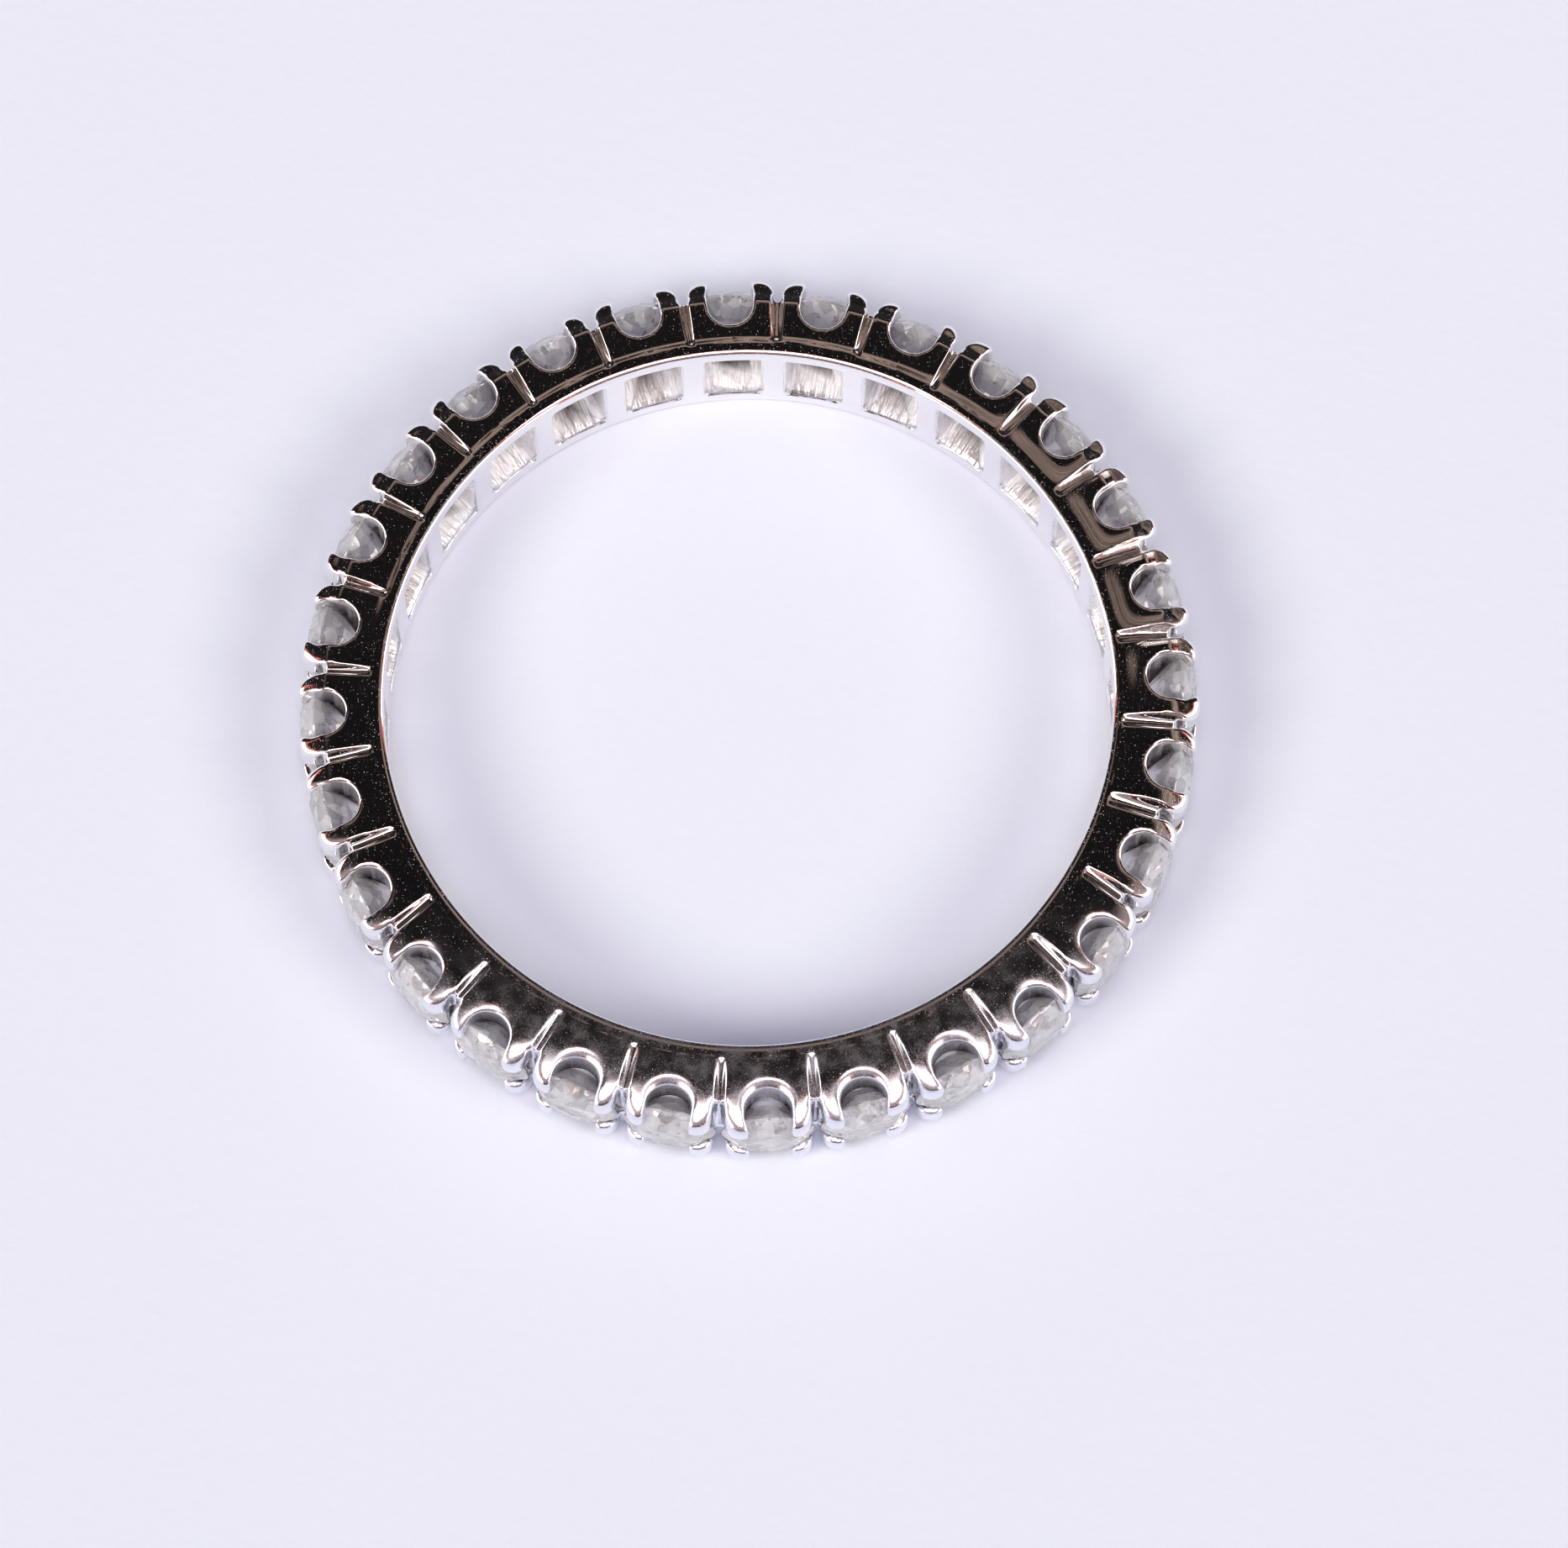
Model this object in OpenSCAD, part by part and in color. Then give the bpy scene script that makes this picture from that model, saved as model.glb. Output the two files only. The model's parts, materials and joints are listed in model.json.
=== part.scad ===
// Full eternity ring: a cast band of cut-out cells, each with one round brilliant
// held in four claws. The ring lies on its side, so the finger bore runs along Z.
// The origin is the middle of the bore, on the face that the ring lies on.

/* [Finger] */
// Diameter of the finger bore
bore_d = 17; // [14:0.25:22]
// Flat broken edge between the bore and each side face
edge_break = 0.09; // [0.04:0.01:0.15]

/* [Stones] */
// Diameter of a stone at its girdle
stone_d = 2.15; // [1.8:0.05:2.6]
// Height of the crown, from the girdle to the table
crown_h = 0.32; // [0.26:0.01:0.38]
// Depth of the pavilion, from the girdle to the culet
pavilion_h = 0.92; // [0.8:0.01:1.1]
// Thickness of the girdle
girdle_t = 0.06; // [0.04:0.01:0.1]
// Width of the table across its corners
table_d = 1.22; // [1.0:0.02:1.3]
// Height of the culet over the bore
culet_h = 0.69; // [0.5:0.01:0.9]

/* [Band] */
// Metal between the edge of a stone and each side face
side_wall = 0.425; // [0.3:0.025:0.5]
// Height of the plain wall between the bore and the foot of a scallop
plain_h = 0.75; // [0.6:0.01:0.95]
// Clearance between a stone and the metal round it
seat_gap = 0.03; // [0.02:0.005:0.05]

/* [Claws] */
// Width of a claw along the ring
claw_w = 0.38; // [0.32:0.01:0.45]
// How far a claw reaches in over a stone, across the ring
claw_reach = 0.5; // [0.4:0.01:0.6]
// How far the claw tips lean in from the side faces
claw_lean = 0.45; // [0.3:0.01:0.5]
// How far a claw tip hooks in over the mouth of its scallop
claw_hook = 0.1; // [0.05:0.01:0.15]
// Height of the claw tips over the table
claw_proud = 0.06; // [0.03:0.01:0.1]
// Width of the notch between the claws of neighbouring stones
notch_w = 0.36; // [0.28:0.01:0.42]
// Depth of that notch below the girdle
notch_drop = 0.34; // [0.25:0.01:0.4]
// Radius of the outer corner of a claw, beside the notch
horn_r = 0.22; // [0.12:0.01:0.28]

/* [Piercing] */
// Width of the bars between the windows, at the bore
bar_w = 0.5; // [0.4:0.01:0.6]
// Width of the rail between a window and each side face
rail_w = 0.44; // [0.36:0.01:0.5]
// How far the bars stand back from the two plain rails, which touch the finger
bar_back = 0.03; // [0.02:0.01:0.05]
// How much is cut off each corner of a window
window_corner = 0.14; // [0.08:0.01:0.2]
// Radius of a file groove where it meets the notch
groove_r = 0.14; // [0.12:0.01:0.16]
// Radius of a file groove at its inner end
groove_end_r = 0.06; // [0.05:0.01:0.08]
// How far from the broken edge of the bore a file groove ends
groove_stop = 0.06; // [0.04:0.01:0.1]

/* [Hidden] */
$fn = 48;
bore_r = bore_d / 2;
stone_r = stone_d / 2;
table_r = table_d / 2;
band_w = stone_d + 2 * side_wall;
mid_z = band_w / 2;

// How far a cut runs on past the metal that it goes through
cut_past = 0.3;

// Radii of the levels of a stone, measured from the middle of the ring
culet_rad = bore_r + culet_h;
girdle_low = culet_rad + pavilion_h;
girdle_top = girdle_low + girdle_t;
tip_rad = girdle_top + crown_h + claw_proud;

// As many stones as fit round the ring with at least this much between their girdles
least_gap = 0.1;
girdle_rad = (girdle_low + girdle_top) / 2;
stone_n = floor(180 / asin((stone_d + least_gap) / 2 / girdle_rad));
cell_a = 360 / stone_n;

// Scallop and notch, seen along the bore
scallop_half = girdle_rad * tan(cell_a / 2) - notch_w / 2 - claw_w;
scallop_foot = bore_r + plain_h;
notch_foot = girdle_rad - notch_drop;
horn_steps = 3;

// Claws, seen along the ring
tip_flat = 0.1;
tip_out_z = mid_z - claw_lean;
tip_in_z = stone_r - claw_reach;
channel_foot = notch_foot - 0.04;

// A window is as wide as the bars leave it, and ends halfway up the pavilion
window_half_w = bore_r * tan(cell_a / 2) - bar_w / 2;
window_half_h = mid_z - rail_w;
window_top = culet_rad + pavilion_h / 2;

// The grooves' middle lines stand this far off the side faces
groove_lift = 0.01;

// Facets turn by a sixteenth of a circle. The shares say how far the star facets reach from
// the table to the girdle, and how near the culet the lower girdle facets come.
half_step = 22.5;
star_share = 0.53;
lower_share = 0.25;
star_r = (1 - star_share) * table_r * cos(half_step) + star_share * stone_r;
lower_r = lower_share * stone_r;

function stone_name(i) = str("stone_", i < 9 ? "0" : "", i + 1);

// One side of the band's section, from the bore out: the radius, and the height over mid_z
side_section = [
    [bore_r + bar_back, window_half_h + bar_back],
    [bore_r, window_half_h + 2 * bar_back],
    [bore_r, mid_z - edge_break],
    [bore_r + edge_break, mid_z],
    [notch_foot, mid_z],
    [(notch_foot + tip_rad) / 2, mid_z - claw_lean / 3],
    [tip_rad - tip_flat, tip_out_z],
    [tip_rad, tip_out_z - tip_flat],
    [tip_rad, tip_in_z + tip_flat],
    [tip_rad - tip_flat, tip_in_z],
    [channel_foot, tip_in_z],
];

// Turns a shape drawn along +X to a cell, counted from the one on +X
module at_cell(i) {
    rotate([0, 0, i * cell_a]) children();
}

// Lays a shape drawn along +Z out along +X, at the middle of the band
module radial() {
    translate([0, 0, mid_z]) rotate([0, 90, 0]) children();
}

// The ring that the cells are cut from, with a channel between its two rows of claws
module blank() {
    turned_over = [for (i = [len(side_section) - 1 : -1 : 0]) [side_section[i][0], -side_section[i][1]]];
    translate([0, 0, mid_z]) rotate_extrude() polygon(concat(side_section, turned_over));
}

// The room for a stone: its outline turned round its own axis, wider by the clearance
module seat() {
    r = stone_r + seat_gap;
    mouth_r = r - (tip_rad - girdle_top) * (stone_r - table_r) / crown_h;
    radial() rotate_extrude() polygon([
        [0, girdle_low - r * pavilion_h / stone_r],
        [r, girdle_low],
        [r, girdle_top],
        [mouth_r, tip_rad],
        [mouth_r, tip_rad + cut_past],
        [0, tip_rad + cut_past],
    ]);
}

// The window that opens a cell to the finger, an oblong with its corners cut off
module window() {
    h = window_half_h;
    w = window_half_w;
    c = window_corner;
    outline = [
        [h - c, w], [c - h, w], [-h, w - c], [-h, c - w],
        [c - h, -w], [h - c, -w], [h, c - w], [h, w - c],
    ];
    radial() translate([0, 0, bore_r - cut_past]) linear_extrude(window_top - bore_r + cut_past)
        polygon(outline);
}

// The round-footed cut through both side faces, with its mouth narrowed by the claw tips
module scallop() {
    w = scallop_half;
    mouth = w - claw_hook;
    foot_mid = scallop_foot + w;
    translate([0, 0, -cut_past]) linear_extrude(band_w + 2 * cut_past) union() {
        translate([foot_mid, 0]) circle(w);
        polygon([
            [foot_mid, -w], [girdle_top, -w], [tip_rad - tip_flat, -mouth], [tip_rad + cut_past, -mouth],
            [tip_rad + cut_past, mouth], [tip_rad - tip_flat, mouth], [girdle_top, w], [foot_mid, w],
        ]);
    }
}

// The notch between two cells, drawn on +X, which rounds off the claws on both sides of it
module notch() {
    w = notch_w / 2;
    flare = [
        for (k = [0 : horn_steps])
            let (t = 90 * k / horn_steps)
            [tip_rad - horn_r * (1 - sin(t)), w + horn_r * (1 - cos(t))],
    ];
    mirrored = [for (k = [horn_steps : -1 : 0]) [flare[k][0], -flare[k][1]]];
    far = [[tip_rad + cut_past, w + horn_r], [tip_rad + cut_past, -w - horn_r]];
    translate([0, 0, -cut_past]) linear_extrude(band_w + 2 * cut_past) union() {
        translate([notch_foot + w, 0]) circle(w);
        polygon(concat([[notch_foot + w, -w], [notch_foot + w, w]], flare, far, mirrored));
    }
}

// A file groove down a side face, from the notch almost to the bore
module groove() {
    start = bore_r + edge_break + groove_stop;
    length = notch_foot + notch_w / 2 - start;
    rotate([0, 90, 0]) translate([0, 0, start]) cylinder(h = length, r1 = groove_end_r, r2 = groove_r);
}

module band() {
    color("gainsboro") difference() {
        blank();
        for (i = [0 : stone_n - 1]) {
            at_cell(i) {
                seat();
                window();
                scallop();
            }
            at_cell(i + 0.5) {
                notch();
                translate([0, 0, -groove_lift]) groove();
                translate([0, 0, band_w + groove_lift]) groove();
            }
        }
    }
}

// Points round a stone, in its own frame, with its axis along Z
function ring_points(n, r, z, turn) =
    [for (k = [0 : n - 1]) [r * cos(360 * k / n + turn), r * sin(360 * k / n + turn), z]];

// A round brilliant: a table, 8 star, 8 kite and 16 upper facets over the girdle,
// and 16 lower and 8 main facets under it
module stone() {
    star_z = girdle_top + crown_h * (stone_r - star_r * cos(half_step)) / (stone_r - table_r);
    lower_z = culet_rad + pavilion_h * lower_r * cos(half_step) / stone_r;
    points = concat(
        ring_points(8, table_r, girdle_top + crown_h, 0),
        ring_points(8, star_r, star_z, half_step),
        ring_points(16, stone_r, girdle_top, 0),
        ring_points(16, stone_r, girdle_low, 0),
        ring_points(8, lower_r, lower_z, half_step),
        [[0, 0, culet_rad]]
    );
    table = 0;
    star = 8;
    upper = 16;
    under = 32;
    lower = 48;
    culet = 56;
    faces = concat(
        [[for (k = [7 : -1 : 0]) table + k]],
        [for (k = [0 : 7]) [table + k, table + (k + 1) % 8, star + k]],
        [for (k = [0 : 7]) [table + k, star + k, upper + 2 * k, star + (k + 7) % 8]],
        [for (k = [0 : 7]) [star + k, upper + 2 * k + 1, upper + 2 * k]],
        [for (k = [0 : 7]) [star + k, upper + (2 * k + 2) % 16, upper + 2 * k + 1]],
        [for (j = [0 : 15]) [under + j, upper + j, upper + (j + 1) % 16, under + (j + 1) % 16]],
        [for (k = [0 : 7]) [lower + k, under + 2 * k, under + 2 * k + 1]],
        [for (k = [0 : 7]) [lower + k, under + 2 * k + 1, under + (2 * k + 2) % 16]],
        [for (k = [0 : 7]) [culet, lower + (k + 7) % 8, under + 2 * k, lower + k]]
    );
    color("white") radial() polyhedron(points = points, faces = faces);
}

band();
for (i = [0 : stone_n - 1])
    at_cell(i) stone();
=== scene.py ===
import json
import math

import bpy
import numpy as np
from mathutils import Matrix, Vector


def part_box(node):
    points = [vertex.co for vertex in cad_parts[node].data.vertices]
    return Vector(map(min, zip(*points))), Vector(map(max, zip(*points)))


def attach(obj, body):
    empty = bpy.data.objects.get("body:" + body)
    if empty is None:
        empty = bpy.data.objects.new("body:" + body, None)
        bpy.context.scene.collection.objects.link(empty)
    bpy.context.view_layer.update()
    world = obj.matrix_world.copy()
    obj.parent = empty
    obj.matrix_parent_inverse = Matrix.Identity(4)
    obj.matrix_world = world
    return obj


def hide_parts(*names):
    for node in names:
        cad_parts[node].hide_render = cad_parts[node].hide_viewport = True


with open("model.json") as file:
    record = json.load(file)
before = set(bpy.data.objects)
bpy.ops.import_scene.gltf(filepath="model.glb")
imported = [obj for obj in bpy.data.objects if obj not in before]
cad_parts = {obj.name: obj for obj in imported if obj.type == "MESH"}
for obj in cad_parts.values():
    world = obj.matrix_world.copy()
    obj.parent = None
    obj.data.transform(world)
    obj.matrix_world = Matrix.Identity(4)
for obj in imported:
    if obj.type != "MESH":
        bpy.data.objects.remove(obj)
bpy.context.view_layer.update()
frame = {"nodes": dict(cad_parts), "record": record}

MM = 0.001

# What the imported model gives: the stones, the angle of one cell, and sizes in millimetres, with the
# levels of a stone measured from the middle of the ring
STONES = sorted(n for n in frame["nodes"] if n.startswith("stone_"))
CELLS = len(STONES)
CELL = 2 * math.pi / CELLS
BORE = next(m for m in frame["record"]["mounts"] if m["name"] == "finger_bore")["dims"]["r_mm"]
BAND_LOW, BAND_HIGH = (np.array(c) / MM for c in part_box("band"))
MID = (BAND_HIGH[2] - BAND_LOW[2]) / 2
STONE_LOW, STONE_HIGH = (np.array(c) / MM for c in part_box("stone_01"))
STONE_R = (STONE_HIGH[2] - STONE_LOW[2]) / 2
CULET, TABLE = STONE_LOW[0], STONE_HIGH[0]

# Proportions of a round brilliant of that size, in millimetres. The shares say how far the star facets
# reach from the table to the girdle, and how near the culet the lower girdle facets come.
GIRDLE_T = 0.06
CROWN = 0.32
TABLE_R = 0.61
STAR_SHARE = 0.53
LOWER_SHARE = 0.25
GIRDLE_TOP = TABLE - CROWN
GIRDLE_LOW = GIRDLE_TOP - GIRDLE_T
PAVILION = GIRDLE_LOW - CULET

# Sizes of the metal, in millimetres. A scallop's flare is a slope, and goes on for the length of its end.
# A notch's flare is what each side gains up to the claw tips, from a drop under the girdle.
TIP = TABLE + 0.04
SCALLOP_FOOT = BORE + 0.82
SCALLOP_HALF = 0.53
SCALLOP_FLARE = 0.1
SCALLOP_FLARE_END = 0.3
HOOK = 0.1
NOTCH_FOOT = GIRDLE_LOW - 0.19
NOTCH_HALF = 0.12
NOTCH_FLARE = 0.09
NOTCH_FLARE_DROP = 0.05
LEAN_START = NOTCH_FOOT - 0.05
LEAN = 0.3
CLAW_IN = 0.56
CHANNEL_FOOT = NOTCH_FOOT - 0.05
WINDOW_W = 0.705
WINDOW_H = MID - 0.44
WINDOW_TOP = CULET + PAVILION / 2
WINDOW_CORNER = 0.14
WINDOW_TAPER_W, WINDOW_TAPER_H = 0.22, 0.6
SEAT_GAP = 0.012

# File grooves: the shares are those of the width and the depth that are left at the inner end. They are
# wider, deeper and longer on the right of the photo, and slimmer at its top.
GROOVE_HALF = 0.15
GROOVE_DEPTH = 0.2
GROOVE_STOP = BORE + 0.22
GROOVE_RUN_IN = 0.14
GROOVE_END_HALF, GROOVE_END_DEPTH = 0.65, 0.15
GROOVE_WIDER, GROOVE_DEEPER, GROOVE_LONGER, GROOVE_SLIMMER = 0.06, 0.05, 0.1, 0.03
# The grooves of the lower face have the differences of other cells, this many further on
GROOVE_SHIFT = 11

# Wear, by how far down in the photo a place on the ring lies, from -1 at the top to 1 at the bottom
WORN_FROM, WORN_FULL = -0.2, 0.9
STEEP_FROM, STEEP_FULL = 0.8, 0.95
BEVEL_SLOPE = (0.42, 0.8)
BEVEL_WORN = 0.2
SCALLOP_WORN = 0.27

# Over how many millimetres each surface is rounded into the ones before it, and what wear and the
# smoothing of the claw tips add to that
ROUND = {
    "lean": 0.05,
    "tip": 0.24,
    "bevel": 0.08,
    "scallop": 0.12,
    "notch": 0.13,
    "groove": 0.05,
    "channel": 0.2,
    "bore": 0.17,
    "window": 0.07,
    "seat": 0.03,
}
ROUND_WORN = {"lean": 0.3, "notch": 0.12}
ROUND_TIP = {"scallop": 0.18, "notch": 0.28}

# Chance with a fixed seed, so that each run makes the same ring
HAND = np.random.default_rng(28)


def by_hand(spread):
    """One small difference for each cell, never more than two and a half spreads."""
    return np.clip(HAND.normal(0.0, spread, CELLS), -2.5 * spread, 2.5 * spread)


# How much the cells of a ring finished by hand differ, as one standard deviation in millimetres, or as
# a slope for the tilt
VARY = {
    "foot": by_hand(0.03),
    "side": by_hand(0.02),
    "half": by_hand(0.015),
    "notch": by_hand(0.012),
    "notch_foot": by_hand(0.03),
    "groove_stop": by_hand(0.08),
    "groove_half": by_hand(0.015),
    "groove_tilt": by_hand(0.04),
    "claw": by_hand(0.02),
    "hook_left": by_hand(0.04),
    "hook_right": by_hand(0.04),
}


def smooth_max(a, b, k):
    """The larger of two distances, with the crease between them rounded over a width k."""
    h = np.maximum(k - np.abs(a - b), 0.0) / k
    return np.maximum(a, b) + h ** 3 * (k / 6)


def smooth_step(x, low, high):
    """Goes softly from 0 at low to 1 at high."""
    t = np.clip((x - low) / (high - low), 0.0, 1.0)
    return t * t * (3 - 2 * t)


def polar(p):
    """Each point's distance from the ring's axis, and its turn round the ring in cells."""
    return np.hypot(p[..., 0], p[..., 1]), np.arctan2(p[..., 1], p[..., 0]) / CELL


def beside(r, angle):
    """How far out a point lies along a line from the ring's axis, and how far off to its side."""
    return r * np.cos(angle), r * np.sin(angle)


def scallop_distance(x, y, i, worn):
    """Distance from the round-footed cut in a side face: its mouth closes in between the claws."""
    half = SCALLOP_HALF + VARY["half"][i]
    middle = SCALLOP_FOOT + VARY["foot"][i] + SCALLOP_WORN * worn + half
    y = y - VARY["side"][i]
    hook = HOOK + np.where(y > 0, VARY["hook_left"][i], VARY["hook_right"][i])
    flare = SCALLOP_FLARE * np.clip(x - middle, 0, SCALLOP_FLARE_END)
    width = half + flare - hook * smooth_step(x, GIRDLE_LOW, TIP)
    return np.where(x < middle, np.hypot(x - middle, y) - half, np.abs(y) - width)


def notch_distance(x, y, j):
    """Distance from the notch between two cells, which opens out round the tips of the claws."""
    half = NOTCH_HALF + VARY["notch"][j]
    middle = NOTCH_FOOT + VARY["notch_foot"][j] + half
    up = np.clip((x - GIRDLE_LOW + NOTCH_FLARE_DROP) / (TIP - GIRDLE_LOW), 0, 1.2)
    width = half + NOTCH_FLARE * up ** 2
    return np.where(x < middle, np.hypot(x - middle, y) - half, np.abs(y) - width)


def groove_distance(x, y, z, j, top):
    """Distance from a file groove, which runs out towards the bore."""
    k = np.where(top, j, (j + GROOVE_SHIFT) % CELLS)
    right = np.clip(np.cos((j + 0.5) * CELL), 0, 1)
    above = np.clip(np.sin((j + 0.5) * CELL), 0, 1)
    stop = GROOVE_STOP + np.abs(VARY["groove_stop"][k]) - GROOVE_LONGER * right
    t = np.clip((x - stop) / (NOTCH_FOOT - stop), 0, 1.25)
    half = GROOVE_HALF + VARY["groove_half"][k] + GROOVE_WIDER * right - GROOVE_SLIMMER * above
    half = half * (GROOVE_END_HALF + (1 - GROOVE_END_HALF) * t)
    depth = (GROOVE_DEPTH + GROOVE_DEEPER * right) * (GROOVE_END_DEPTH + (1 - GROOVE_END_DEPTH) * t)
    depth = depth * smooth_step(x, stop, stop + GROOVE_RUN_IN)
    u = np.clip(np.abs(y - VARY["groove_tilt"][k] * (NOTCH_FOOT - x)) / half, 0, 2)
    return -(np.abs(z) - MID + depth * (1 - u * u)) / np.sqrt(1 + (2 * depth * u / half) ** 2)


def window_distance(x, y, z):
    """Distance from a window, which gets narrower from the bore to the stone."""
    t = np.clip((x - BORE) / (WINDOW_TOP - BORE), 0, 1.1)
    u = np.abs(y) - WINDOW_W + WINDOW_TAPER_W * t + WINDOW_CORNER
    v = np.abs(z) - WINDOW_H + WINDOW_TAPER_H * t + WINDOW_CORNER
    box = np.hypot(np.maximum(u, 0), np.maximum(v, 0)) + np.minimum(np.maximum(u, v), 0) - WINDOW_CORNER
    return np.maximum(box, x - WINDOW_TOP)


def stone_distance(x, y, z):
    """Distance from the stone's outline turned round its axis."""
    rho = np.hypot(y, z)
    pavilion = (CULET - x + rho * PAVILION / STONE_R) * math.cos(math.atan(PAVILION / STONE_R))
    rise = CROWN / (STONE_R - TABLE_R)
    crown = (x - GIRDLE_TOP - (STONE_R - rho) * rise) * math.cos(math.atan(rise))
    return np.maximum(np.maximum(pavilion, rho - STONE_R), np.maximum(crown, x - TABLE))


def metal_distance(p):
    """Signed distance in millimetres from the band's surface, less than nothing inside the metal."""
    r, turn = polar(p)
    z = p[..., 2]
    i, j = np.round(turn).astype(int), np.floor(turn).astype(int)
    x, y = beside(r, (turn - i) * CELL)
    notch_x, notch_y = beside(r, (turn - j - 0.5) * CELL)
    i %= CELLS
    j %= CELLS

    down = -p[..., 1] / np.maximum(r, 1.0)
    worn = smooth_step(down, WORN_FROM, WORN_FULL)
    near_tip = smooth_step(r, GIRDLE_LOW - 0.1, TIP)

    lean_angle = math.atan2(LEAN, TIP - LEAN_START)
    lean = (r - LEAN_START) * math.sin(lean_angle) + (np.abs(z) - MID) * math.cos(lean_angle)
    d = smooth_max(np.abs(z) - MID, lean, ROUND["lean"] + ROUND_WORN["lean"] * worn)
    d = smooth_max(d, r - TIP - VARY["claw"][i] * 0.5, ROUND["tip"])

    cut = scallop_distance(x, y, i, worn)
    steep = BEVEL_SLOPE[0] + (BEVEL_SLOPE[1] - BEVEL_SLOPE[0]) * smooth_step(down, STEEP_FROM, STEEP_FULL)
    bevel = (np.abs(z) - MID + steep * (BEVEL_WORN * worn - cut)) / np.hypot(1, steep)
    d = smooth_max(d, bevel, ROUND["bevel"])
    d = smooth_max(d, -cut, ROUND["scallop"] + ROUND_TIP["scallop"] * near_tip)

    notch_round = ROUND["notch"] + ROUND_WORN["notch"] * worn + ROUND_TIP["notch"] * near_tip
    d = smooth_max(d, -notch_distance(notch_x, notch_y, j), notch_round)
    d = smooth_max(d, -groove_distance(notch_x, notch_y, z, j, z > 0), ROUND["groove"])
    d = smooth_max(d, -np.maximum(np.abs(z) - CLAW_IN, CHANNEL_FOOT - r), ROUND["channel"])
    d = smooth_max(d, BORE - r, ROUND["bore"])
    d = smooth_max(d, -window_distance(x, y, z), ROUND["window"])
    return smooth_max(d, SEAT_GAP - stone_distance(x, y, z), ROUND["seat"])


def surface_net(steps_a, steps_r, steps_z, low_r, high_r, half_z):
    """A quad mesh of the metal's surface, from a grid that runs right round the ring."""
    ang = np.arange(steps_a) * (2 * math.pi / steps_a)
    rad = np.linspace(low_r, high_r, steps_r)
    hgt = np.linspace(-half_z, half_z, steps_z)
    grid = np.stack(np.broadcast_arrays(
        rad[None, :, None] * np.cos(ang)[:, None, None],
        rad[None, :, None] * np.sin(ang)[:, None, None],
        hgt[None, None, :]), axis=-1)
    value = metal_distance(grid)
    value = np.concatenate([value, value[:1]], axis=0)
    inside = value < 0
    shape = (steps_a, steps_r - 1, steps_z - 1)
    corners = [(a, b, c) for a in (0, 1) for b in (0, 1) for c in (0, 1)]

    def at(field, o):
        return field[o[0]:o[0] + shape[0], o[1]:o[1] + shape[1], o[2]:o[2] + shape[2]]

    # Each box of the grid that the surface runs through gets one point, in the middle of its crossings
    count = sum(at(inside, o).astype(np.int8) for o in corners)
    mixed = (count > 0) & (count < 8)
    index = np.full(shape, -1)
    index[mixed] = np.arange(mixed.sum())
    place = np.zeros((mixed.sum(), 3))
    hits = np.zeros(mixed.sum())
    for o in corners:
        for axis in range(3):
            if o[axis]:
                continue
            far = tuple(v + (n == axis) for n, v in enumerate(o))
            v0, v1 = at(value, o)[mixed], at(value, far)[mixed]
            cross = (v0 < 0) != (v1 < 0)
            t = np.where(cross, v0 / np.where(cross, v0 - v1, 1.0), 0.0)
            step = np.zeros((mixed.sum(), 3))
            step[:] = o
            step[:, axis] += t
            place += step * cross[:, None]
            hits += cross
    cell = np.stack(np.nonzero(mixed), axis=1) + place / hits[:, None]
    theta = cell[:, 0] * (2 * math.pi / steps_a)
    radius = low_r + cell[:, 1] * (rad[1] - rad[0])
    height = hgt[0] + cell[:, 2] * (hgt[1] - hgt[0])
    points = np.stack([radius * np.cos(theta), radius * np.sin(theta), height], 1)

    # Each edge of the grid that the surface crosses gets one quad, between the four boxes round it
    quads = []
    once = inside[:steps_a]
    sides = (
        (once, np.roll(once, -1, axis=0)),
        (once[:, :-1], once[:, 1:]),
        (once[:, :, :-1], once[:, :, 1:]),
    )
    for axis, (near, beyond) in enumerate(sides):
        u, v = [n for n in range(3) if n != axis]
        edges = np.stack(np.nonzero(near != beyond), axis=1)
        outward = near[tuple(edges.T)]
        ring = []
        for du, dv in ((0, 0), (-1, 0), (-1, -1), (0, -1)):
            c = edges.copy()
            c[:, u] += du
            c[:, v] += dv
            c[:, 0] %= steps_a
            ring.append(index[tuple(c.T)])
        face = np.stack(ring, axis=1)
        flip = outward != (axis == 1)
        face[flip] = face[flip][:, ::-1]
        quads.append(face)
    return points, np.concatenate(quads)


def slope(p, step=0.004):
    """The way out of the metal at each point, as a unit vector."""
    g = np.stack([metal_distance(p + step * e) - metal_distance(p - step * e) for e in np.eye(3)], axis=1)
    return g / np.maximum(np.linalg.norm(g, axis=1, keepdims=True), 1e-9)


def settle(p, rounds, most=0.03):
    """Moves points on to the metal's surface, by so much at most in each round."""
    for _ in range(rounds):
        d = metal_distance(p)
        p = p - slope(p) * np.clip(d, -most, most)[:, None]
    return p


def add_object(name, data):
    """A new object in the scene."""
    made = bpy.data.objects.new(name, data)
    bpy.context.scene.collection.objects.link(made)
    return made


def thin_out(piece, share):
    """Keeps that share of the triangles, most of them where the surface bends."""
    mod = piece.modifiers.new("thin", "DECIMATE")
    mod.ratio = share
    mod.use_collapse_triangulate = True
    shape = bpy.data.meshes.new_from_object(piece.evaluated_get(bpy.context.evaluated_depsgraph_get()))
    piece.modifiers.clear()
    old, piece.data = piece.data, shape
    bpy.data.meshes.remove(old)
    shape.name = piece.name


def in_mm(piece):
    """The places of a mesh's points in millimetres, from the middle of the ring."""
    p = np.empty(len(piece.data.vertices) * 3)
    piece.data.vertices.foreach_get("co", p)
    return p.reshape(-1, 3) / MM - [0, 0, MID]


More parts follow.
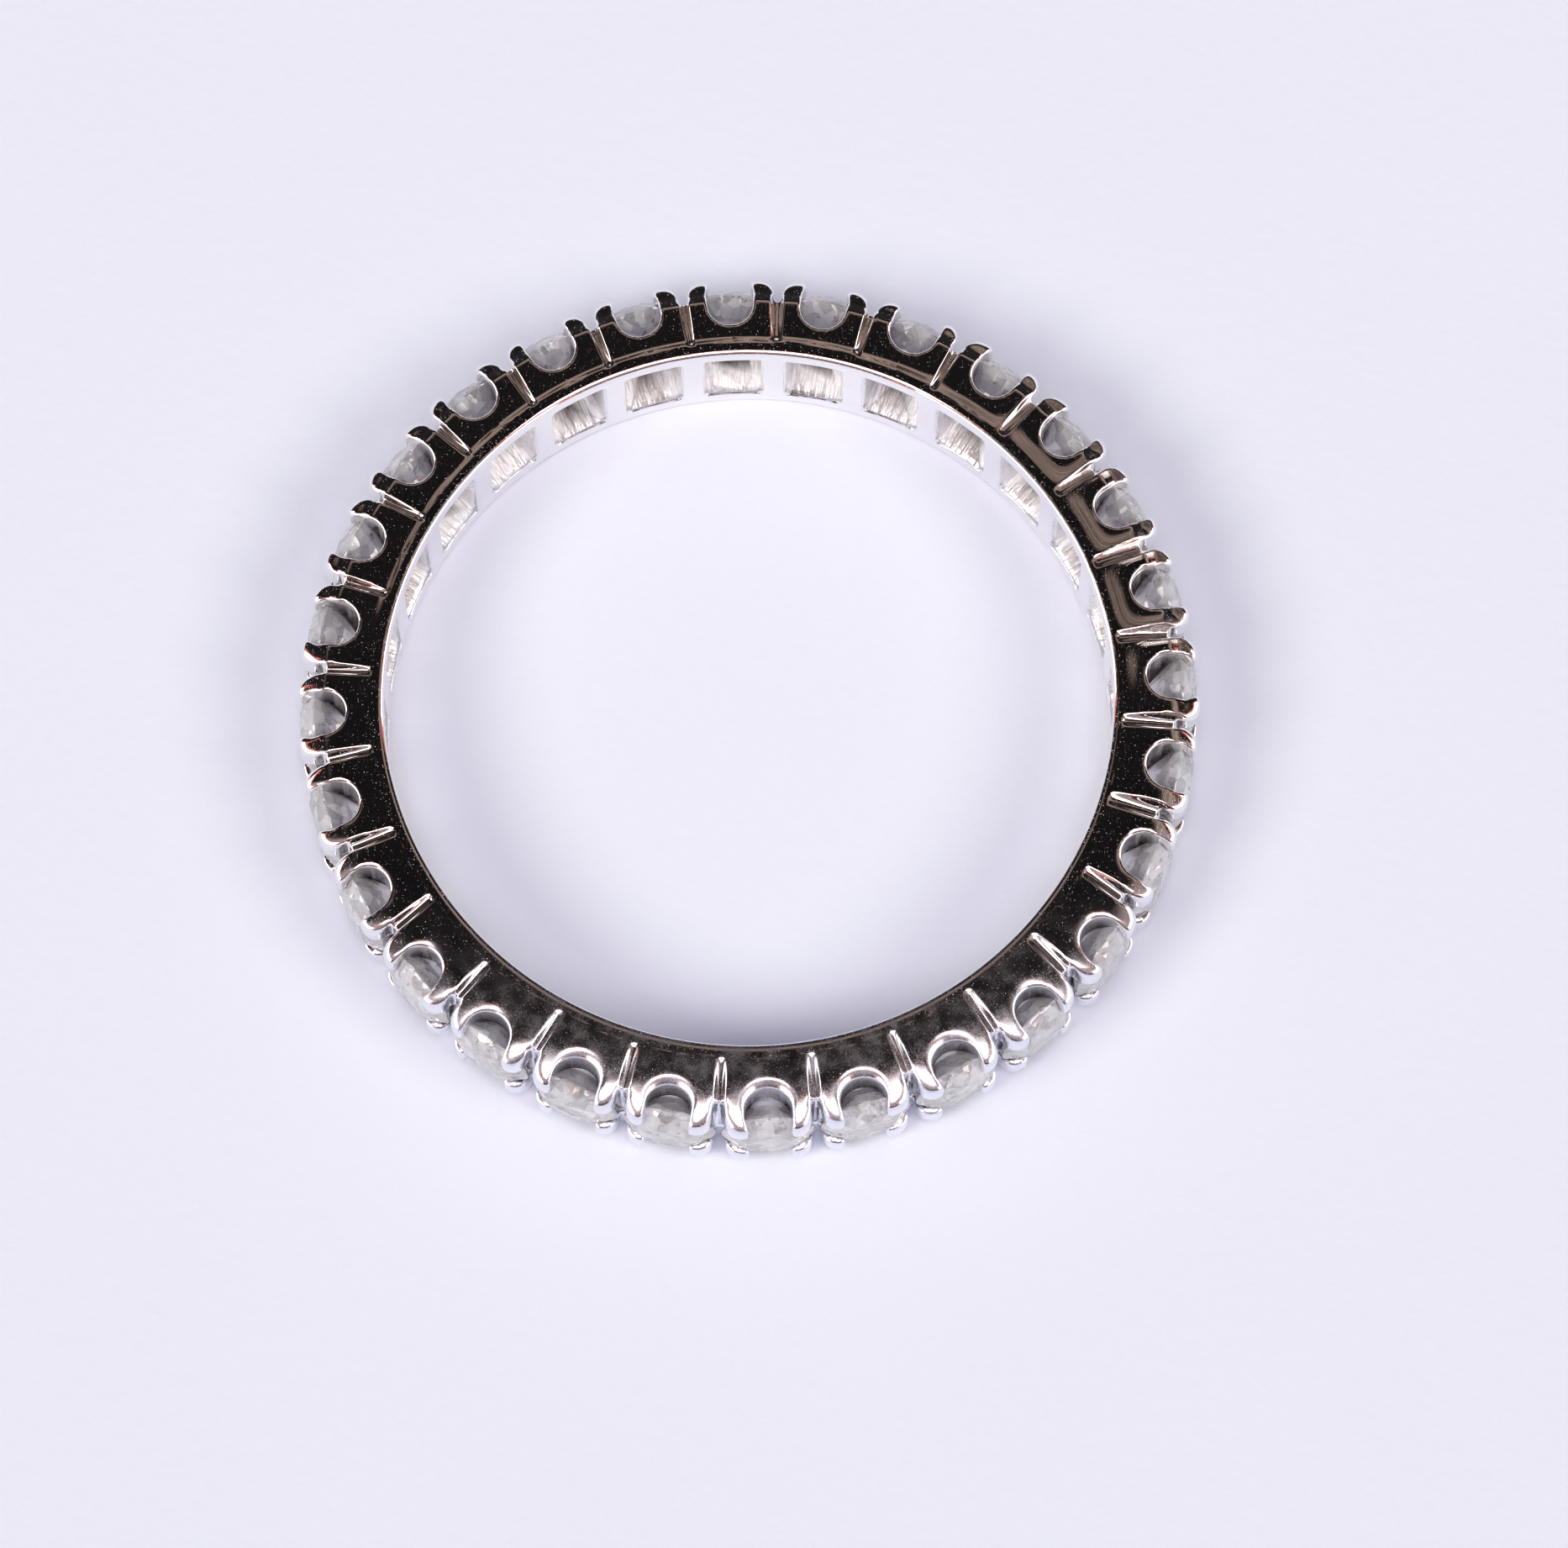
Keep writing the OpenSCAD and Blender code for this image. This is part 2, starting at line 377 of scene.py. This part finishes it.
def cast_share(p):
    """How much of the rough cast surface is left at each point: none where the ring was polished."""
    r, turn = polar(p)
    x, y = beside(r, (turn - np.round(turn)) * CELL)
    on_wall = smooth_step(-np.abs(window_distance(x, y, p[:, 2])), -0.06, -0.02)
    inside = on_wall * smooth_step(r, BORE + 0.03, BORE + 0.12)
    # The channel between the claws, from over the culets to under the claw tips
    channel = smooth_step(-np.abs(p[:, 2]), -CLAW_IN - 0.02, -CLAW_IN + 0.05) * smooth_step(r, 9.3, 9.5)
    return np.clip(np.maximum(inside, channel * smooth_step(-r, -10.45, -10.3)), 0, 1)


def seat_paste_and_shade_share(p):
    """How far into a seat each point lies, for the painted shade there: the shadow and dark reflections
    of the seats and scallop walls are painted into the metal's colour, along with the polishing paste
    left in them.
    """
    r, turn = polar(p)
    x, y = beside(r, (turn - np.round(turn)) * CELL)
    cell = np.round(turn).astype(int) % CELLS
    seat = smooth_step(-stone_distance(x, y, p[:, 2]), -0.16, -0.05)
    wall = smooth_step(-np.abs(scallop_distance(x, y, cell, 0.0)), -0.3, -0.15)
    wall *= smooth_step(-np.abs(p[:, 2]), 0.25 - MID, 0.55 - MID)
    return np.maximum(seat, wall) * smooth_step(-r, -GIRDLE_LOW, 0.3 - GIRDLE_LOW)


def make_band():
    """The cast ring with all its cells, as one closed surface."""
    points, faces = surface_net(CELLS * BAND_STEPS[0], *BAND_STEPS[1:],
                                BORE - NET_ROOM[0], TIP + NET_ROOM[1], MID + NET_ROOM[2])
    mesh = bpy.data.meshes.new("ring_band")
    mesh.from_pydata((settle(points, 2) * MM + [0, 0, MID * MM]).tolist(), [], faces.tolist())
    mesh.validate()
    piece = add_object("ring_band", mesh)
    thin_out(piece, BAND_TRIANGLES / (2 * len(faces)))
    points = settle(in_mm(piece), 1)
    mesh = piece.data
    mesh.vertices.foreach_set("co", ((points + [0, 0, MID]) * MM).ravel())
    mesh.shade_smooth()
    mesh.normals_split_custom_set_from_vertices(slope(points).tolist())
    # The second attribute carries the painted shade in the seats, along with their polishing paste.
    for name, share in (("cast", cast_share), ("seat_paste_and_shade", seat_paste_and_shade_share)):
        mesh.attributes.new(name, "FLOAT", "POINT").data.foreach_set("value", share(points))
    return piece


def make_stone(name, cell):
    """A round brilliant of 57 facets, set in its cell with a turn and a tilt of its own."""
    side = 4
    rim_n = 16 * side
    half = math.radians(22.5)
    star_r = (1 - STAR_SHARE) * TABLE_R * math.cos(half) + STAR_SHARE * STONE_R
    star_z = TABLE - CROWN * (star_r * math.cos(half) - TABLE_R) / (STONE_R - TABLE_R)
    low_r = LOWER_SHARE * STONE_R
    low_z = CULET + PAVILION * low_r * math.cos(half) / STONE_R

    def ring(n, r, z, turn=0.0):
        angles = [turn + k * 2 * math.pi / n for k in range(n)]
        return [Vector((r * math.cos(a), r * math.sin(a), z)) for a in angles]

    table = ring(8, TABLE_R, TABLE)
    star = ring(8, star_r, star_z, half)
    low = ring(8, low_r, low_z, half)
    culet = Vector((0, 0, CULET))
    top, bottom = ring(rim_n, STONE_R, GIRDLE_TOP), ring(rim_n, STONE_R, GIRDLE_LOW)

    def drop_to(points, corner, ends):
        """Brings the rim points between two ends down or up into the plane of their facet."""
        normal = (ends[0] - corner).cross(ends[1] - corner)
        for p in points:
            p.z = corner.z - (normal.x * (p.x - corner.x) + normal.y * (p.y - corner.y)) / normal.z

    verts, faces, seen = [], [], {}

    def index(p):
        key = tuple(round(c, 7) for c in p)
        if key not in seen:
            seen[key] = len(verts)
            verts.append(p.copy())
        return seen[key]

    def face(points):
        faces.append([index(p) for p in points])

    for s in range(16):
        arc = [(s * side + k) % rim_n for k in range(side + 1)]
        ends_up = (top[arc[0]].copy(), top[arc[-1]].copy())
        ends_down = (bottom[arc[0]].copy(), bottom[arc[-1]].copy())
        drop_to([top[k] for k in arc[1:-1]], star[s // 2], ends_up)
        drop_to([bottom[k] for k in arc[1:-1]], low[s // 2], ends_down)
    for k in range(8):
        face([table[k], star[k], table[(k + 1) % 8]])
        face([table[k], star[(k + 7) % 8], top[2 * k * side], star[k]])
        face([culet, low[k], bottom[2 * k * side], low[(k + 7) % 8]])
        for s in (2 * k, 2 * k + 1):
            arc = [(s * side + n) % rim_n for n in range(side + 1)]
            face([star[k]] + [top[n] for n in arc])
            face([low[k]] + [bottom[n] for n in reversed(arc)])
    face(table)
    for n in range(rim_n):
        m = (n + 1) % rim_n
        face([top[m], top[n], bottom[n], bottom[m]])

    spin = Matrix.Rotation(STONE_TURN[cell], 4, "Z")
    middle = Matrix.Translation((0, 0, GIRDLE_LOW))
    tilt = middle @ Matrix.Rotation(STONE_TILT[cell], 4, "X") @ Matrix.Rotation(STONE_NOD[cell], 4, "Y")
    place = (Matrix.Translation((0, 0, MID)) @ Matrix.Rotation(cell * CELL, 4, "Z")
             @ Matrix.Rotation(math.pi / 2, 4, "Y") @ tilt @ middle.inverted() @ spin)
    mesh = bpy.data.meshes.new(name)
    mesh.from_pydata([place @ v * MM for v in verts], [], faces)
    mesh.validate()
    return add_object(name, mesh)


class Nodes:
    """Adds nodes to a tree, each with its inputs given by name."""

    def __init__(self, tree):
        self.tree = tree

    def node(self, kind, **values):
        """A new node. What isn't the name of an input is set as a property."""
        n = self.tree.nodes.new(kind)
        for key, value in values.items():
            name = key.replace("_", " ")
            if name in n.inputs:
                self.join(value, n.inputs[name])
            else:
                setattr(n, key, value)
        return n

    def join(self, value, socket):
        """Gives an input its value, or links it to another node's output."""
        if isinstance(value, bpy.types.NodeSocket):
            self.tree.links.new(value, socket)
        else:
            socket.default_value = value

    def split(self, where):
        return self.node("ShaderNodeSeparateXYZ", Vector=where).outputs

    def math(self, operation, *values):
        n = self.node("ShaderNodeMath", operation=operation)
        for value, socket in zip(values, n.inputs):
            self.join(value, socket)
        return n.outputs[0]

    def times(self, a, b):
        return self.math("MULTIPLY", a, b)

    def line(self, value, gain, start):
        """The start, and gain times the value more."""
        return self.math("MULTIPLY_ADD", value, gain, start)

    def rest(self, share):
        """What a share leaves of one."""
        return self.math("SUBTRACT", 1.0, share)

    def length(self, x, y):
        return self.math("SQRT", self.math("ADD", self.times(x, x), self.times(y, y)))

    def smooth(self, value, low, high):
        """Goes softly from 0 at low to 1 at high."""
        n = self.node("ShaderNodeMapRange", interpolation_type="SMOOTHSTEP")
        for v, name in ((value, "Value"), (low, "From Min"), (high, "From Max")):
            self.join(v, n.inputs[name])
        return n.outputs["Result"]

    def noise(self, where, scale, detail, stretch=None):
        if stretch:
            where = self.node("ShaderNodeMapping", Vector=where, Scale=stretch).outputs["Vector"]
        return self.node("ShaderNodeTexNoise", Vector=where, Scale=scale, Detail=detail).outputs["Fac"]

    def ramp(self, fac, *stops):
        """A colour that changes evenly between stops, each a place from 0 to 1 and its colour."""
        n = self.node("ShaderNodeValToRGB", Fac=fac)
        while len(n.color_ramp.elements) < len(stops):
            n.color_ramp.elements.new(0.5)
        for e, (place, shade) in zip(n.color_ramp.elements, stops):
            e.position = place
            e.color = (*shade, 1)
        return n.outputs["Color"]

    def blend(self, fac, a, b):
        """Colour a where fac is 0 and b where it is 1."""
        n = self.node("ShaderNodeMix", data_type="RGBA")
        self.join(fac, n.inputs[0])
        # The inputs before these two, and the outputs before the third, are for numbers and vectors
        for shade, socket in zip((a, b), n.inputs[6:8]):
            self.join((*shade, 1) if isinstance(shade, tuple) else shade, socket)
        return n.outputs[2]

    def bump(self, height, depth_mm, normal=None):
        n = self.node("ShaderNodeBump", Height=height, Distance=depth_mm * MM)
        if normal is not None:
            self.join(normal, n.inputs["Normal"])
        return n.outputs["Normal"]


class Look(Nodes):
    """A material made of nodes. Its self.mm is the place on the object in millimetres."""

    def __init__(self, name):
        self.material = bpy.data.materials.new(name)
        self.material.use_nodes = True
        super().__init__(self.material.node_tree)
        self.shader = next(n for n in self.tree.nodes if n.type == "BSDF_PRINCIPLED")
        place = self.node("ShaderNodeTexCoord").outputs["Object"]
        scaled = self.node("ShaderNodeVectorMath", operation="SCALE", Vector=place, Scale=1 / MM)
        self.mm = scaled.outputs["Vector"]

    def finish(self, **values):
        for key, value in values.items():
            self.join(value, self.shader.inputs[key.replace("_", " ")])
        return self.material


def white_gold():
    """Rhodium-bright white gold: hand polished outside, left as it was cast inside the openings."""
    look = Look("white_gold")
    mm = look.mm
    # The second attribute is the painted shade of the seats, along with their polishing paste.
    cast, seat_paste_and_shade = (look.node("ShaderNodeAttribute", attribute_name=name).outputs["Fac"]
                  for name in ("cast", "seat_paste_and_shade"))
    x, y, z = look.split(mm)
    radius = look.length(x, y)
    turn = look.math("DIVIDE", look.math("ARCTAN2", y, x), CELL)
    from_notch = look.math("SUBTRACT", look.math("FRACT", turn), 0.5)
    across = look.math("ABSOLUTE", look.times(look.times(from_notch, CELL), radius))
    one_cell = look.math("FLOOR", look.math("ADD", turn, 0.5))
    chance = look.node("ShaderNodeTexWhiteNoise", noise_dimensions="1D", W=one_cell).outputs["Value"]

    # Each cell's face is buffed a little lower than the flat zone along the bore and the file grooves,
    # most of all on the upper right of the photo. On the other sides, some of the faces stay flat.
    buffed = look.times(look.smooth(x, 2.0, 9.0), look.smooth(y, -1.5, 1.2))
    low_side = look.smooth(y, -2.0, -8.0)
    from_rim = look.math("SUBTRACT", radius, look.line(chance, 0.12, BORE + 0.3))
    from_groove = look.math("SUBTRACT", across, look.line(buffed, 0.5, -0.4))
    from_both = look.math("SMOOTH_MIN", from_rim, from_groove, 0.7)
    pad = look.smooth(from_both, -0.1, look.line(buffed, 0.25, 0.1))
    on_face = look.smooth(look.math("ABSOLUTE", look.math("SUBTRACT", z, MID)), MID - 0.25, MID - 0.1)
    rolled = look.smooth(radius, BORE + 0.02, look.line(low_side, 0.04, BORE + 0.16))
    middle_side = look.smooth(look.math("ABSOLUTE", look.math("ADD", y, 1.0)), 4.5, 2.5)
    right_side = look.times(look.smooth(x, 3.0, 8.0), look.smooth(y, 1.5, -1.0))
    flat = look.math("MAXIMUM", look.math("MAXIMUM", low_side, middle_side), right_side)
    flat = look.times(flat, look.rest(buffed))
    dish = look.times(look.times(pad, on_face), look.line(buffed, -1.3, -1.0))
    dish = look.times(dish, look.rest(flat))
    dish = look.line(rolled, look.line(low_side, 0.2, 0.6), dish)
    lines = look.node("ShaderNodeTexNoise", noise_dimensions="1D", W=look.line(chance, 9.0, dish),
                      Scale=16.0, Detail=2.0).outputs["Fac"]
    dish = look.line(look.times(lines, buffed), 0.06, dish)

    cloudy = look.noise(mm, 1.6, 3.0)
    waves = look.noise(mm, 0.9, 1.5)
    grain = look.noise(mm, 34.0, 3.0)
    lumps = look.noise(mm, 9.0, 4.0)
    round_ring = look.node("ShaderNodeCombineXYZ", X=radius, Y=look.times(turn, CELL * 9), Z=z).outputs[0]
    streaks = look.noise(round_ring, 1.0, 2.0, (1.0, 7.0, 0.8))
    pits = look.smooth(look.noise(mm, 30.0, 1.5), look.line(pad, 0.03, 0.66), 0.8)
    scratch = look.math("GREATER_THAN", look.noise(mm, 2.2, 2.0, (26.0, 2.0, 8.0)), 0.7)
    patches = look.line(look.noise(mm, 2.4, 3.0), 0.6, look.times(grain, 0.4))
    worn = look.times(look.smooth(y, -3.0, -8.5), look.smooth(patches, 0.15, 0.95))

    polished = look.line(grain, 0.03, look.line(worn, 0.44, 0.05))
    rough = look.line(lumps, 0.2, 0.3)
    roughness = look.math("ADD", look.times(polished, look.rest(cast)), look.times(rough, cast))
    ridges = look.line(lumps, 0.1, look.times(streaks, 1.2))
    normal = look.bump(dish, depth_mm=0.036)
    normal = look.bump(waves, 0.02, normal)
    normal = look.bump(look.line(scratch, 0.1, pits), 0.004, normal)
    normal = look.bump(look.times(ridges, cast), 0.14, normal)
    smooth_metal = look.ramp(cloudy, (0.3, (0.90, 0.885, 0.895)), (0.7, (0.93, 0.92, 0.925)))
    cast_metal = look.ramp(lumps, (0.35, (0.93, 0.89, 0.90)), (0.55, (1.0, 0.99, 1.0)))
    colour = look.blend(cast, smooth_metal, cast_metal)
    colour = look.blend(worn, colour, (0.77, 0.83, 1.0))
    # Painted shade: metal in the seats and on the scallop walls under the stones turns near black-brown
    # for their shadow and dark reflections, along with the polishing paste there.
    colour = look.blend(seat_paste_and_shade, colour, (0.06, 0.038, 0.032))
    metallic = look.line(cast, -0.6, 1.0)
    return look.finish(Base_Color=colour, Metallic=metallic, Roughness=roughness, Normal=normal)


def diamond():
    """A commercial brilliant: clear enough to show its facets, milky with fine inclusions."""
    look = Look("diamond")
    cloud = look.noise(look.mm, 1.8, 3.0)
    feather = look.smooth(look.noise(look.mm, 5.0, 3.0, (1.0, 1.0, 1.6)), 0.6, 0.72)
    crystals = look.node("ShaderNodeTexVoronoi", Vector=look.mm, Scale=3.4)
    glassy = look.node("ShaderNodeSeparateColor", Color=crystals.outputs["Color"]).outputs
    milk = look.ramp(cloud, (0.3, (0.86, 0.84, 0.855)), (0.7, (0.95, 0.935, 0.94)))
    colour = look.blend(feather, milk, (0.50, 0.45, 0.455))
    x, y, _ = look.split(look.mm)
    outer = look.smooth(look.length(x, y), 9.3, 9.9)
    through = look.line(cloud, -0.35, look.line(glassy[0], 0.4, 0.45))
    through = look.times(through, look.line(outer, 0.75, 0.25))
    normal = look.bump(look.times(crystals.outputs["Distance"], glassy[1]), depth_mm=0.05)
    return look.finish(Base_Color=colour, Roughness=look.times(cloud, 0.03), IOR=2.417,
                       Transmission_Weight=through, Normal=normal)


def paper():
    """White printing paper, a little cloudy, with its fibres."""
    look = Look("paper")
    fibre = look.noise(look.mm, 3.0, 5.0)
    wide = look.noise(look.mm, 0.12, 2.0)
    colour = look.blend(look.line(fibre, 0.3, look.times(wide, 0.5)),
                        (0.805, 0.81, 0.88), (0.84, 0.845, 0.91))
    return look.finish(Base_Color=colour, Roughness=0.95, Specular_IOR_Level=0.1,
                       Normal=look.bump(fibre, depth_mm=0.02))


def direction(azimuth, elevation):
    """A unit vector: azimuth in degrees from +X towards +Y."""
    a, e = math.radians(azimuth), math.radians(elevation)
    return Vector((math.cos(a) * math.cos(e), math.sin(a) * math.cos(e), math.sin(e)))


def sine(degrees):
    return math.sin(math.radians(degrees))


def sky():
    """What the polished metal mirrors: a studio with a dark ceiling, a brown wall and a pale front."""
    world = bpy.data.worlds.new("studio")
    bpy.context.scene.world = world
    world.use_nodes = True
    world.cycles_visibility.diffuse = False
    nodes = Nodes(world.node_tree)
    back = next(n for n in world.node_tree.nodes if n.type == "BACKGROUND")
    where = nodes.node("ShaderNodeTexCoord").outputs["Generated"]
    x, y, height = nodes.split(where)
    left, behind, before = (
        nodes.ramp(height, *((sine(degrees), shade) for degrees, shade in stops))
        for stops in (SKY_LEFT, SKY_BEHIND, SKY_BEFORE))
    colour = nodes.blend(nodes.smooth(x, -0.62, -0.22), left, behind)
    colour = nodes.blend(nodes.smooth(y, 0.12, -0.2), colour, before)
    level = nodes.length(x, y)
    for azimuth, half, low, high, shade in SOFTBOXES:
        for rim, tone in ((WARM_RIM, WARM_TONE), (0.0, shade)):
            toward = nodes.node("ShaderNodeVectorMath", operation="DOT_PRODUCT")
            nodes.join(where, toward.inputs[0])
            toward.inputs[1].default_value = direction(azimuth, 0)
            edge = math.cos(math.radians(half + rim))
            bottom, top = sine(low - rim), sine(high + rim)
            wide = nodes.smooth(nodes.math("DIVIDE", toward.outputs["Value"], level), edge - 0.01, edge)
            over = nodes.smooth(height, bottom - 0.02, bottom)
            under = nodes.smooth(height, top + 0.02, top)
            colour = nodes.blend(nodes.times(wide, nodes.times(over, under)), colour, tone)
    nodes.join(colour, back.inputs["Color"])


def soft_light(name, azimuth, elevation, strength, width, colour):
    """A soft light from far away, as many degrees wide as it says. The sky holds its mirror image."""
    light = bpy.data.lights.new(name, "SUN")
    light.energy = strength
    light.angle = math.radians(width)
    light.color = colour
    lamp = add_object(name, light)
    lamp.rotation_mode = "QUATERNION"
    lamp.rotation_quaternion = direction(azimuth, elevation).to_track_quat("Z", "Y")
    lamp.visible_glossy = False


def photo_camera():
    """The photograph's view, worked out from the two rims of the bore as they show there."""
    elevation, yaw, roll = math.radians(71.0), math.radians(-1.17), math.radians(1.4)
    distance, focal_px = 170.0, 8619.0
    photo_w, photo_h = 1866, 1842
    middle_px = (891.3, 850.2)
    back = Vector((0, -math.cos(elevation), math.sin(elevation)))
    up = Vector((0, math.sin(elevation), math.cos(elevation)))
    right = Vector((1, 0, 0))
    turn = Matrix.Rotation(yaw, 3, "Z")
    axes = turn @ Matrix((right, up, back)).transposed() @ Matrix.Rotation(-roll, 3, "Z")
    seen = Vector((middle_px[0] - photo_w / 2, photo_h / 2 - middle_px[1], -focal_px)).normalized()
    aim = seen.rotation_difference(Vector((0, 0, -1))).to_matrix()
    place = Vector((0, 0, MID * MM)) + turn @ back * distance * MM
    data = bpy.data.cameras.new("photo")
    data.sensor_width = 36.0
    data.lens = data.sensor_width * focal_px / photo_w
    data.clip_start, data.clip_end = 0.01, 10.0
    cam = add_object("photo", data)
    cam.matrix_world = Matrix.Translation(place) @ (axes @ aim).to_4x4()
    bpy.context.scene.camera = cam


def stone_tilts(spread=0.5, most=0.8):
    """A small tilt for each stone, from a spread and a largest value in degrees."""
    return np.radians(np.clip(HAND.normal(0, spread, CELLS), -most, most))


# The band's grid: steps in one cell, then across the wall, then along the finger. It leaves this much
# room towards the finger, outside the claws and over each side face.
BAND_STEPS = ((40, 47, 66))
NET_ROOM = (0.12, 0.13, 0.06)
BAND_TRIANGLES = 196_000
STONE_TURN = HAND.uniform(0, math.pi / 4, CELLS)
STONE_TILT = stone_tilts()
STONE_NOD = stone_tilts()

# The studio's shades by how many degrees they lie over the horizon
SKY_LEFT = (
    (0, (0.95, 0.92, 0.98)),
    (4, (0.50, 0.46, 0.50)),
    (8, (0.03, 0.027, 0.03)),
    (30, (0.012, 0.010, 0.011)),
)
SKY_BEHIND = (
    (0, (0.95, 0.92, 0.98)),
    (3, (0.50, 0.46, 0.50)),
    (7, (0.03, 0.027, 0.03)),
    (38, (0.010, 0.008, 0.008)),
    (42, (0.20, 0.145, 0.12)),
    (45, (0.42, 0.305, 0.255)),
    (48, (0.20, 0.145, 0.12)),
    (52, (0.31, 0.225, 0.185)),
    (56, (0.13, 0.09, 0.075)),
    (62, (0.012, 0.010, 0.010)),
    (80, (0.005, 0.005, 0.006)),
)
SKY_BEFORE = (
    (0, (0.075, 0.012, 0.012)),
    (17, (0.09, 0.022, 0.022)),
    (25, (0.32, 0.27, 0.28)),
    (48, (0.30, 0.26, 0.27)),
    (58, (0.10, 0.08, 0.08)),
    (72, (0.008, 0.007, 0.007)),
)

# The lights as the metal mirrors them: azimuth, half of their width, lower and upper edge in degrees,
# and colour. Each has a warm rim. The first two stand low at the sides, and the third hangs over the
# camera.
SOFTBOXES = (
    (-166, 36, 6, 29, (3.2, 3.1, 3.0)),
    (-14, 36, 6, 29, (3.0, 2.9, 2.8)),
    (-90, 58, 53, 71, (2.9, 2.8, 2.7)),
)
WARM_RIM = 5.0
WARM_TONE = (0.70, 0.20, 0.16)

# The lights that fall on the paper and the ring: azimuth and elevation, strength, width and colour
WARM, COOL = (1.0, 1.0, 0.88), (1.0, 0.96, 1.2)
LIGHTS = (
    ("front_left", -150, 45, 1.45, 26, WARM),
    ("front_right", -30, 45, 1.1, 26, WARM),
    ("over_camera", -90, 65, 0.55, 20, COOL),
    ("overhead", -90, 82, 0.6, 20, COOL),
    ("left", 180, 30, 0.16, 24, COOL),
    ("right", 0, 30, 0.09, 24, COOL),
    ("back", 90, 60, 0.18, 30, COOL),
)

metal, gem = white_gold(), diamond()
band = make_band()
band.data.materials.append(metal)
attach(band, "root")
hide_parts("band")
for cell, node in enumerate(STONES):
    stone = make_stone("brilliant_" + node[-2:], cell)
    stone.data.materials.append(gem)
    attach(stone, "root")
    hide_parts(node)

bpy.ops.mesh.primitive_grid_add(x_subdivisions=8, y_subdivisions=8, size=4.0)
floor = bpy.context.object
floor.name = "paper_floor"
floor.data.materials.append(paper())

sky()
for light in LIGHTS:
    soft_light(*light)
photo_camera()
bpy.context.scene.view_settings.view_transform = "Standard"
